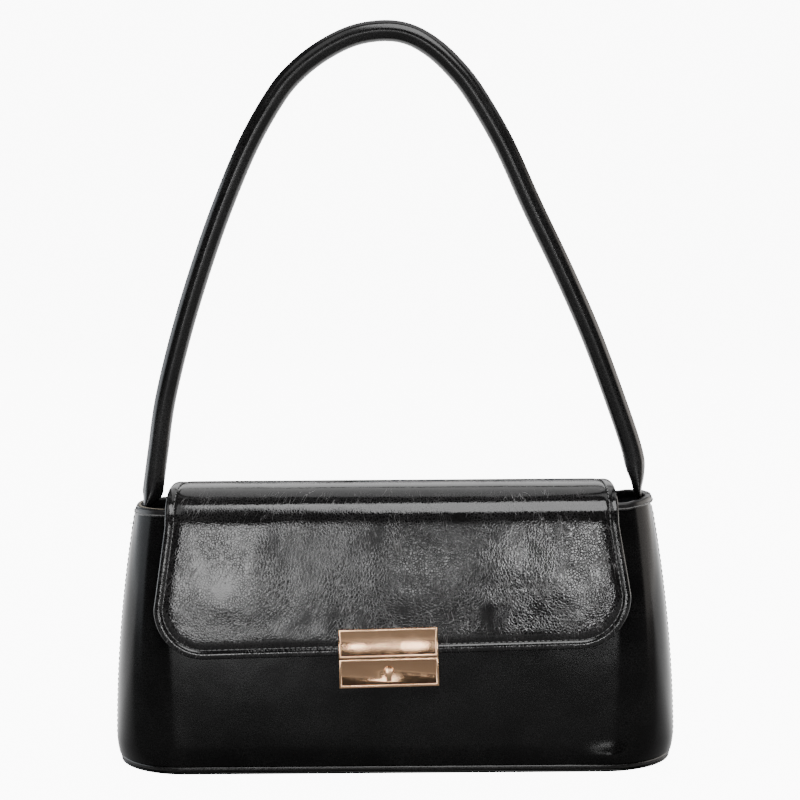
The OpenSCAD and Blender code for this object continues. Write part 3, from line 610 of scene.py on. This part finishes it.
# Flap: one hide from the back of the bag over the mouth and down the front, its edges turned round
# a soft filling and sewn 4.4 mm in. It is parted out of sight behind the crest into two halves.
flap_t = 2.4 * MM
fold_z = body_h - 8 * MM
front_off, back_off = 4.8 * MM, 4.2 * MM
front_fold_y = -(flat_y(fold_z) + front_off / math.cos(lean))
back_fold_y = flat_y(fold_z) + back_off / math.cos(lean)
flap_arch_h, arch_power = 17 * MM, 0.72
flap_back_w, flap_mid_w, flap_fold_w, flap_low_w = 212 * MM, 219 * MM, 220.5 * MM, 231.5 * MM
flap_corner_r, flap_shift = 25 * MM, 0.8 * MM
leaf_len = (fold_z - 58.6 * MM) / math.cos(lean)
tail_len, tail_off, tail_rise = 30 * MM, 1.3, 2.9
tail_steps, arch_steps, leaf_steps, line_steps, smooth_over = 60, 240, 160, 900, 25

# The flap's middle line, from the end of the tail to the lower edge, as y, z and half width.
line = []
for i in range(tail_steps + 1):
    down = tail_len * (1 - i / tail_steps)
    off = (tail_off + tail_rise * max(1 - down / (12 * MM), 0) ** 2) * MM
    z = fold_z - down * math.cos(lean)
    line.append((flat_y(z) + off / math.cos(lean), z, flap_back_w / 2))
for i in range(1, arch_steps):
    a = math.pi * i / arch_steps
    c = math.cos(a)
    span = back_fold_y if c > 0 else -front_fold_y
    side_w = flap_back_w if c > 0 else flap_fold_w
    rise = flap_arch_h * math.sin(a) ** arch_power
    # In front the arch leans like the leaf below it, so that the fold has no step.
    y = math.copysign(span * abs(c) ** arch_power, c) + (rise * math.tan(lean) * -c if c < 0 else 0)
    line.append((y, fold_z + rise, (flap_mid_w + (side_w - flap_mid_w) * abs(c)) / 2))
arch_end = len(line)
for i in range(leaf_steps + 1):
    down = leaf_len * i / leaf_steps
    w = flap_fold_w + (flap_low_w - flap_fold_w) * min(down / (leaf_len - flap_corner_r), 1)
    line.append((front_fold_y - down * math.sin(lean), fold_z - down * math.cos(lean), w / 2))
line = np.array(line)
run = np.concatenate([[0], np.cumsum(np.hypot(np.diff(line[:, 0]), np.diff(line[:, 1])))])
fold_run = run[arch_end]
end_run = run[-1]
even = np.linspace(0, end_run, line_steps)
line = np.stack([np.interp(even, run, line[:, k]) for k in range(3)], axis=1)
for k in range(2):
    longer = np.pad(line[:, k], smooth_over // 2, mode="reflect", reflect_type="odd")
    line[:, k] = np.convolve(longer, np.ones(smooth_over) / smooth_over, mode="valid")


def flap_at(x, v, depth):
    """Point of the flap: across, along its middle line, and in from its outer face."""
    below = v - fold_run
    v = v - x * math.tan(flap_skew) * min(max(below / (30 * MM), 0), 1)
    y, z = np.interp(v, even, line[:, 0]), np.interp(v, even, line[:, 1])
    step = 0.6 * MM
    ty = np.interp(v + step, even, line[:, 0]) - np.interp(v - step, even, line[:, 0])
    tz = np.interp(v + step, even, line[:, 1]) - np.interp(v - step, even, line[:, 1])
    if v > end_run - step:
        ty, tz = -math.sin(lean), -math.cos(lean)
        y -= (v - end_run) * math.sin(lean) * (v > end_run)
        z -= (v - end_run) * math.cos(lean) * (v > end_run)
    size = math.hypot(ty, tz)
    ny, nz = tz / size, -ty / size
    return Vector((x - flap_shift, y - ny * depth, z - nz * depth))


def flap_half_w(v):
    return float(np.interp(v, even, line[:, 2]))


# Rings of the turned edge from behind the flap to its face, each a distance in from the edge and a depth.
edge_r = flap_t / 2
face_swell = 0.22 * MM
edge_rings = [(5.4 * MM, flap_t), (3 * MM, flap_t), (edge_r, flap_t)]
for turn in (150, 120, 90, 60, 30):
    a = math.radians(turn)
    edge_rings.append((edge_r * (1 - math.sin(a)), edge_r * (1 - math.cos(a))))
for inset, sunk in ((1.2, 0), (1.7, -0.06), (2.4, -0.08), (3.0, -0.02), (3.5, 0.14), (3.9, 0.34),
                    (4.4, 0.46), (4.9, 0.34), (5.3, 0.12), (5.9, -0.06), (6.8, -0.16), (8, -0.2)):
    edge_rings.append((inset * MM, sunk * MM))
for inset in (9.5, 11.5, 14, 17, 20, 22.5):
    edge_rings.append((inset * MM, -face_swell))
ring_count = len(edge_rings)
split_v = fold_run - 47 * MM


def leaf_bulge(x, v):
    """Soft dents of the padded leather, none of them at the edge."""
    below = (v - fold_run) / leaf_len
    side = 1 - (abs(x) / (flap_low_w / 2)) ** 6
    wave = 0.1 * math.sin(x / MM * 0.058 + 0.6) + 0.05 * math.sin(x / MM * 0.11 + below * 1.6 + 2.1)
    return (0.25 + wave) * MM * max(side, 0) * math.sin(math.pi * min(max(below + 0.25, 0), 1) * 0.9)


def flap_grid(name, first_v, last_v, middle, rows, corners):
    """The leather of one half of the flap with its turned edge, as a grid of columns and rows."""
    columns = 2 * ring_count + middle - 1
    all_rows = rows + (ring_count if corners else 0)
    centre_v = end_run - flap_corner_r
    last = centre_v if corners else last_v

    def place(across, up):
        i, j = round(across * columns), round((1 - up) * all_rows)
        side = -1 if i < ring_count else 1
        k = i if i < ring_count else columns - i
        inner = k >= ring_count
        if j <= rows:
            v = first_v + (last - first_v) * j / rows
            w = flap_half_w(v)
            if inner:
                x = (w - flap_corner_r) * (2 * (i - ring_count) / (columns - 2 * ring_count) - 1)
                depth = -face_swell
            else:
                x, depth = side * (w - edge_rings[k][0]), edge_rings[k][1]
        else:
            m = all_rows - j
            w = flap_low_w / 2 - flap_corner_r
            if inner:
                x = w * (2 * (i - ring_count) / (columns - 2 * ring_count) - 1)
                v, depth = end_run - edge_rings[m][0], edge_rings[m][1]
            else:
                ring = min(k, m)
                far = ring_count - ring
                turn = 0.5 * (1 - (m - ring) / far) if m >= k else 0.5 + 0.5 * (k - ring) / far
                a = math.radians(90) * turn
                r = flap_corner_r - edge_rings[ring][0]
                x, v = side * (w + r * math.cos(a)), centre_v + r * math.sin(a)
                depth = edge_rings[ring][1]
        if depth < flap_t / 2:
            depth -= leaf_bulge(x, v) if v > fold_run - 20 * MM else 0
        return flap_at(x, v, depth)

    return shaped_grid(name, columns, all_rows, place)


flap_leather = waxed_leather("flap_leather", 1.2, 1.0, 0.6, 0.004, 0.08, ior=1.55)
flap_front = flap_grid("flap_front_hide", split_v, end_run, 96, 72, True)
face_out(flap_front)
thicken(flap_front, 0.5 * MM)
flap_front.data.materials.append(flap_leather)
flap_back = flap_grid("flap_back_hide", 0.3 * MM, split_v, 96, 44, False)
face_out(flap_back)
thicken(flap_back, 0.5 * MM)
tail_leather = waxed_leather("tail_leather", 0.4, 0.6, 0.4, 0.004, 0.14, ior=1.36)
flap_back.data.materials.append(tail_leather)
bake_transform(flap_front)
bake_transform(flap_back)
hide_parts("flap_front_leather", "flap_top_leather")
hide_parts("flap_tail")

# Flap lining: the same black twill glued behind the hide, its edge laid over the turned leather.
# It is parted where the hide is.
cloth_in = 2.6 * MM


def flap_cloth(name, first_v, last_v, rows, rounded):
    def place(across, up):
        v = first_v + (last_v - first_v) * (1 - up)
        w = flap_half_w(v) - cloth_in
        into = v - (end_run - flap_corner_r)
        if rounded and into > 0:
            r = flap_corner_r - cloth_in
            w = flap_low_w / 2 - flap_corner_r + math.sqrt(max(r * r - into * into, 0))
        return flap_at(w * (2 * across - 1), v, flap_t + 0.05 * MM)

    piece = shaped_grid(name, 80, rows, place)
    face_out(piece)
    thicken(piece, 0.3 * MM, 1)
    piece.data.materials.append(twill)
    return piece


front_cloth = flap_cloth("flap_front_cloth", split_v, end_run - cloth_in, 70, True)
back_cloth = flap_cloth("flap_back_cloth", 14 * MM, split_v, 40, False)
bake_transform(front_cloth)
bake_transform(back_cloth)
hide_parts("flap_front_lining", "flap_top_lining")

# Stitches of the flap: black thread in the groove behind the turned edge, 2.7 mm apart.
# They follow the two sides, the round corners and the lower edge.
stitch_in, stitch_gap, groove_sunk = 4.4 * MM, 2.7 * MM, 0.18 * MM
centre_v = end_run - flap_corner_r
arc_r = flap_corner_r - stitch_in
edge_path = [(flap_half_w(v) - stitch_in, v) for v in np.arange(3 * MM, centre_v, 0.5 * MM)]
edge_path += [(flap_low_w / 2 - flap_corner_r + arc_r * math.cos(a), centre_v + arc_r * math.sin(a))
              for a in np.linspace(0, math.pi / 2, 60)]
edge_path += [(x, end_run - stitch_in) for x in np.arange(flap_low_w / 2 - flap_corner_r, 0, -0.5 * MM)]


def flap_spots(side, low, high):
    """Stitches along one half of the flap's edge, between two places on its middle line."""
    spots = []
    gone = 0.0
    for a, b in zip(edge_path, edge_path[1:]):
        gone += math.hypot(b[0] - a[0], b[1] - a[1])
        if gone > stitch_gap:
            gone -= stitch_gap
            if not low < a[1] <= high:
                continue
            here = flap_at(side * a[0], a[1], groove_sunk)
            there = flap_at(side * b[0], b[1], groove_sunk)
            inward = flap_at(side * a[0], a[1], 2 * MM)
            spots.append((here, there - here, here - inward))
    return spots


front_stitches = stitch_row("flap_front_stitches", flap_spots(-1, split_v, 1) + flap_spots(1, split_v, 1))
back_stitches = stitch_row("flap_back_stitches", flap_spots(-1, 0, split_v) + flap_spots(1, 0, split_v))
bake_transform(front_stitches)
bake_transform(back_stitches)

# Lock plates and button: cast zinc, polished and plated pale gold, with a raised bright edge.
# Each is the cast part with its edges rounded by polishing.
gold, gold_tree, gold_shader = new_material("pale_gold")
smears = node(gold_tree, "ShaderNodeTexNoise", {"Vector": object_place(gold_tree), "Scale": 160.0,
                                                "Detail": 6.0, "Roughness": 0.7})
gold_rough = ramp_between(gold_tree, smears.outputs["Fac"], 0.35, 0.7, 0.1, 0.2)
gold_tone = colour_between(gold_tree, smears.outputs["Fac"], (0.78, 0.46, 0.26), (0.86, 0.54, 0.33))
gold_bump = node(gold_tree, "ShaderNodeBump", {"Height": smears.outputs["Fac"], "Distance": 0.00004})
fill(gold_tree, gold_shader, {"Base Color": gold_tone, "Roughness": gold_rough,
                              "Normal": gold_bump.outputs[0], "Metallic": 1.0})


def polished_copy(name, source, body, width):
    """A copy of a cast part with its sharp edges rounded."""
    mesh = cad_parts[source].data.copy()
    piece = bpy.data.objects.new(name, mesh)
    bpy.context.collection.objects.link(piece)
    bpy.ops.object.select_all(action="DESELECT")
    piece.select_set(True)
    bpy.context.view_layer.objects.active = piece
    bpy.ops.object.mode_set(mode="EDIT")
    bpy.ops.mesh.select_all(action="SELECT")
    bpy.ops.mesh.remove_doubles(threshold=0.000004)
    bpy.ops.mesh.dissolve_limited(angle_limit=math.radians(2))
    bpy.ops.object.mode_set(mode="OBJECT")
    bevel = piece.modifiers.new("polish", "BEVEL")
    bevel.width = width
    bevel.segments = 3
    bevel.limit_method = "ANGLE"
    bevel.angle_limit = math.radians(40)
    bevel.use_clamp_overlap = True
    bpy.ops.object.modifier_apply(modifier="polish")
    bpy.ops.object.shade_smooth_by_angle(angle=math.radians(35))
    mesh.materials.clear()
    mesh.materials.append(gold)
    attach(piece, body)
    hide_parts(source)
    return piece


plate_edge, button_edge = 0.45 * MM, 0.3 * MM
polished_copy("upper_lock_plate", "lock_upper_plate", "flap_front", plate_edge)
polished_copy("lower_lock_plate", "lock_housing", "root", plate_edge)
polished_copy("press_button", "lock_button", "button", button_edge)
finish_node("lock_back_cover", gold)

# Steel parts of the lock: washer, rivets, striker, screws and catch, plain bright steel.
# They sit between the layers or inside the case.
bright_steel, steel_tree, steel_shader = new_material("bright_steel")
steel_stretch = node(steel_tree, "ShaderNodeMapping", {"Vector": object_place(steel_tree),
                                                       "Scale": (0.1, 1.0, 1.0)})
brushing = node(steel_tree, "ShaderNodeTexNoise", {"Vector": steel_stretch.outputs[0], "Scale": 3000.0,
                                                   "Detail": 3.0})
steel_rough = ramp_between(steel_tree, brushing.outputs["Fac"], 0.0, 1.0, 0.2, 0.45)
steel_tone = ramp_between(steel_tree, brushing.outputs["Fac"], 0.0, 1.0, 0.42, 0.6)
fill(steel_tree, steel_shader, {"Base Color": steel_tone, "Roughness": steel_rough, "Metallic": 1.0})
for name in ("lock_flap_washer", "lock_rivets", "lock_striker", "lock_screws", "lock_catch"):
    finish_node(name, bright_steel)

# Return springs: two coils of steel wire that stand in the case under the catch and push it back up.
spring_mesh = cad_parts["lock_springs"].data.copy()
springs = bpy.data.objects.new("return_springs", spring_mesh)
bpy.context.collection.objects.link(springs)
spring_mesh.materials.clear()
spring_mesh.materials.append(bright_steel)
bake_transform(springs)
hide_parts("lock_springs")

# Handle: a strip of leather sewn into a tube round a soft cord, pressed flat at both ends and sewn
# to the inside of the bag. The left end stays full almost down to the rim.
handle_shape = [(-0.986, 0), (-0.978, 0.03), (-0.9615, 0.09), (-0.929, 0.2), (-0.8626, 0.34), (-0.781, 0.48),
                (-0.686, 0.62), (-0.574, 0.758), (-0.457, 0.865), (-0.366, 0.92), (-0.257, 0.9626),
                (-0.14, 0.991), (-0.019, 1), (0.08, 0.991), (0.173, 0.9626), (0.258, 0.92), (0.338, 0.865),
                (0.4535, 0.758), (0.57, 0.62), (0.694, 0.48), (0.808, 0.34), (0.905, 0.2), (0.974, 0.09),
                (0.996, 0.03), (1, 0)]
handle_d, handle_rise = 10.4 * MM, 225 * MM
foot_x, pivot_z = mouth_w / 2 - 6 * MM, body_h + 6 * MM
tab_t, tab_w, tab_len = 4 * MM, 12.8 * MM, 26 * MM


def handle_curve(share):
    """Middle of the handle in the plane of its loop."""
    n = len(handle_shape) - 1
    f = min(share * n, n - 0.0001)
    i = int(f)
    t = f - i
    p0, p1 = handle_shape[max(i - 1, 0)], handle_shape[i]
    p2, p3 = handle_shape[i + 1], handle_shape[min(i + 2, n)]
    u, v = [0.5 * (2 * p1[k] + (p2[k] - p0[k]) * t + (2 * p0[k] - 5 * p1[k] + 4 * p2[k] - p3[k]) * t * t
                   + (3 * p1[k] - p0[k] - 3 * p2[k] + p3[k]) * t ** 3) for k in (0, 1)]
    return foot_x * u, pivot_z + handle_rise * v


loop_steps = 600
loop_points = [handle_curve(i / loop_steps) for i in range(loop_steps + 1)]
# The sewn ends run down inside the wall below the two folding points.
tab_shares = np.linspace(1, 0.04, 24)
tab_in = 3.9 * MM


def tab_line(side):
    end_x = foot_x * abs(handle_shape[0 if side < 0 else -1][0])
    points = []
    for s in tab_shares:
        z = pivot_z - tab_len * 1.2 * s
        in_wall = side * (half_w(z) - tab_in)
        ease = max(1 - s / 0.3, 0)
        points.append((in_wall * (1 - ease) + side * end_x * ease, z))
    return points


path = np.array(tab_line(-1) + loop_points + tab_line(1)[::-1])
path_run = np.concatenate([[0], np.cumsum(np.hypot(np.diff(path[:, 0]), np.diff(path[:, 1])))])
whole_run = path_run[-1]


def handle_at(s):
    """Middle of the handle and its direction at a distance along it."""
    x, z = np.interp(s, path_run, path[:, 0]), np.interp(s, path_run, path[:, 1])
    e = 1.5 * MM
    dx = np.interp(s + e, path_run, path[:, 0]) - np.interp(s - e, path_run, path[:, 0])
    dz = np.interp(s + e, path_run, path[:, 1]) - np.interp(s - e, path_run, path[:, 1])
    size = math.hypot(dx, dz)
    return x, z, dx / size, dz / size


def smooth_step(t):
    t = min(max(t, 0), 1)
    return t * t * (3 - 2 * t)


handle_rows, handle_sides = 420, 32
tube_seam_at, tube_seam_in, tube_seam_lip, pinch_in = math.radians(215), 0.35 * MM, 0.16 * MM, 0.22 * MM


def handle_place(across, up):
    s = whole_run * up
    x, z, tx, tz = handle_at(s)
    left = s < whole_run / 2
    above = (z - pivot_z) / MM
    full = smooth_step((above + 10) / 10) if left else smooth_step((above + 7) / 21)
    half_in = (tab_t - 1.2 * MM) / 2 * (1 - full) + handle_d / 2 * full
    half_across = tab_w / 2 * (1 - full) + handle_d / 2 * full
    a = 2 * math.pi * across
    wrinkle = 0.05 * MM * math.sin(s / MM * 1.9) * math.sin(s / MM * 0.31) * max(math.cos(a), 0)
    # The seam runs along the outside of the loop, a little towards the front.
    turn = (a - tube_seam_at + math.pi) % (2 * math.pi) - math.pi
    seam = -tube_seam_in * math.exp(-(turn / 0.1) ** 2)
    seam += tube_seam_lip * math.exp(-((abs(turn) - 0.26) / 0.12) ** 2)
    pinch = pinch_in * math.cos(4 * a + 0.8) * smooth_step((5 - above) / 9) * smooth_step((above + 12) / 5)
    grow = wrinkle + seam * full + pinch
    return Vector((x + tz * (half_in + grow) * math.cos(a), (half_across + grow) * math.sin(a),
                   z - tx * (half_in + grow) * math.cos(a)))


handle_hide = shaped_grid("handle_hide", handle_sides, handle_rows, handle_place, closed=True)
bpy.context.view_layer.objects.active = handle_hide
bpy.ops.object.mode_set(mode="EDIT")
bpy.ops.mesh.select_all(action="DESELECT")
bpy.ops.mesh.select_non_manifold()
bpy.ops.mesh.edge_face_add()
bpy.ops.object.mode_set(mode="OBJECT")
face_out(handle_hide)
handle_leather = waxed_leather("handle_leather", 0.03, 0.6, 0.25, 0.004, 0.2)
handle_hide.data.materials.append(handle_leather)
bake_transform(handle_hide)
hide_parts("handle_sleeve", "handle_tab_left", "handle_tab_right")

# Cord inside the handle: twisted cotton, hidden in the leather tube.
# It fills the tube and keeps it round.
cotton, cotton_tree, cotton_shader = new_material("cotton_cord")
strands = node(cotton_tree, "ShaderNodeTexWave", {"Vector": object_place(cotton_tree), "Scale": 160.0,
                                                  "Distortion": 2.0}, bands_direction="DIAGONAL")
cotton_tone = colour_between(cotton_tree, strands.outputs["Fac"], (0.45, 0.42, 0.36), (0.62, 0.59, 0.52))
fill(cotton_tree, cotton_shader, {"Base Color": cotton_tone, "Roughness": 0.9})
finish_node("handle_core", cotton)

# Studio: the floor and the surround look white to the camera alone. The shiny leather meets a dark
# surround and a floor that glows only behind the bag and far in front of it, and mirrors the soft boxes.
bpy.ops.object.select_all(action="DESELECT")
bpy.ops.mesh.primitive_circle_add(vertices=96, radius=8, fill_type="NGON", location=(0, 0, 0))
floor = bpy.context.object
floor.name = "floor"
floor_paint, floor_tree, floor_shader = new_material("floor_paint")
floor_seen = node(floor_tree, "ShaderNodeLightPath").outputs["Is Camera Ray"]
floor_tone = colour_between(floor_tree, floor_seen, (0.25, 0.25, 0.25), (0.8, 0.8, 0.8))
floor_depth = node(floor_tree, "ShaderNodeSeparateXYZ", {0: object_place(floor_tree)}).outputs[1]
zone_glow = math_node(floor_tree, "ADD", ramp_between(floor_tree, floor_depth, -0.04, 0.08, 0.0, 2.2),
                      ramp_between(floor_tree, floor_depth, -1.8, -1.4, 0.7, 0.0))
unseen_glow = math_node(floor_tree, "MULTIPLY", zone_glow, math_node(floor_tree, "SUBTRACT", 1.0, floor_seen))
floor_glow = math_node(floor_tree, "ADD", unseen_glow, math_node(floor_tree, "MULTIPLY", floor_seen, 10.0))
fill(floor_tree, floor_shader, {"Base Color": floor_tone, "Roughness": 0.9, "Specular IOR Level": 0.0,
                                "Emission Color": (1, 1, 1, 1), "Emission Strength": floor_glow})
floor.data.materials.append(floor_paint)

world = bpy.data.worlds.new("studio")
bpy.context.scene.world = world
world.use_nodes = True
world_tree = world.node_tree
room = world_tree.nodes["Background"]
room_seen = node(world_tree, "ShaderNodeLightPath").outputs["Is Camera Ray"]
room_tone = colour_between(world_tree, room_seen, (0.04, 0.04, 0.04), (10, 10, 10))
fill(world_tree, room, {"Color": room_tone, "Strength": 1.0})


def soft_box(name, at, size, glow, colour=(1, 1, 1)):
    """A rectangular lamp that looks at the bag and isn't seen itself. Its glow is the same at any size."""
    lamp = bpy.data.lights.new(name, "AREA")
    lamp.shape = "RECTANGLE"
    lamp.size, lamp.size_y = size
    lamp.energy = glow * math.pi * size[0] * size[1]
    lamp.color = colour
    holder = bpy.data.objects.new(name, lamp)
    bpy.context.collection.objects.link(holder)
    holder.location = at
    holder.rotation_euler = (Vector((0, 0, 0.1)) - Vector(at)).to_track_quat("-Z", "Y").to_euler()
    holder.visible_camera = False


# The flat front of the flap mirrors the small front boxes. Its fold and the handle mirror the upper ones.
soft_box("upper_box", (0.4, -1.1, 1.75), (1.3, 1.4), 6)
soft_box("upper_left_box", (-0.75, -1.1, 1.75), (1.0, 1.4), 1.2)
soft_box("top_box", (0.4, 0.9, 1.6), (2.4, 1.4), 1.0)
soft_box("behind_box", (0.2, 2.4, 0.95), (2.6, 0.9), 1.3)
soft_box("left_side_box", (-1.85, 0.5, 0.35), (2.6, 1.2), 2.2, (0.9, 0.95, 1))
soft_box("right_side_box", (1.85, 0.5, 0.35), (2.6, 1.2), 2.4, (1, 0.94, 0.88))
soft_box("front_left_box", (-0.32, -2.4, 0.33), (0.24, 0.3), 9)
soft_box("front_middle_box", (0.05, -2.4, 0.29), (0.09, 0.12), 9)
soft_box("front_right_box", (0.34, -2.4, 0.31), (0.09, 0.2), 20)
soft_box("front_fill_box", (-0.05, -2.45, 0.37), (0.9, 0.25), 0.8)
soft_box("low_fill_box", (-0.3, -2.45, 0.17), (0.34, 0.08), 1.8)
soft_box("lock_box", (-0.02, -2.4, 0.1), (0.34, 0.11), 0.7)
soft_box("lock_top_box", (-0.02, -2.4, 0.185), (0.3, 0.06), 0.45)
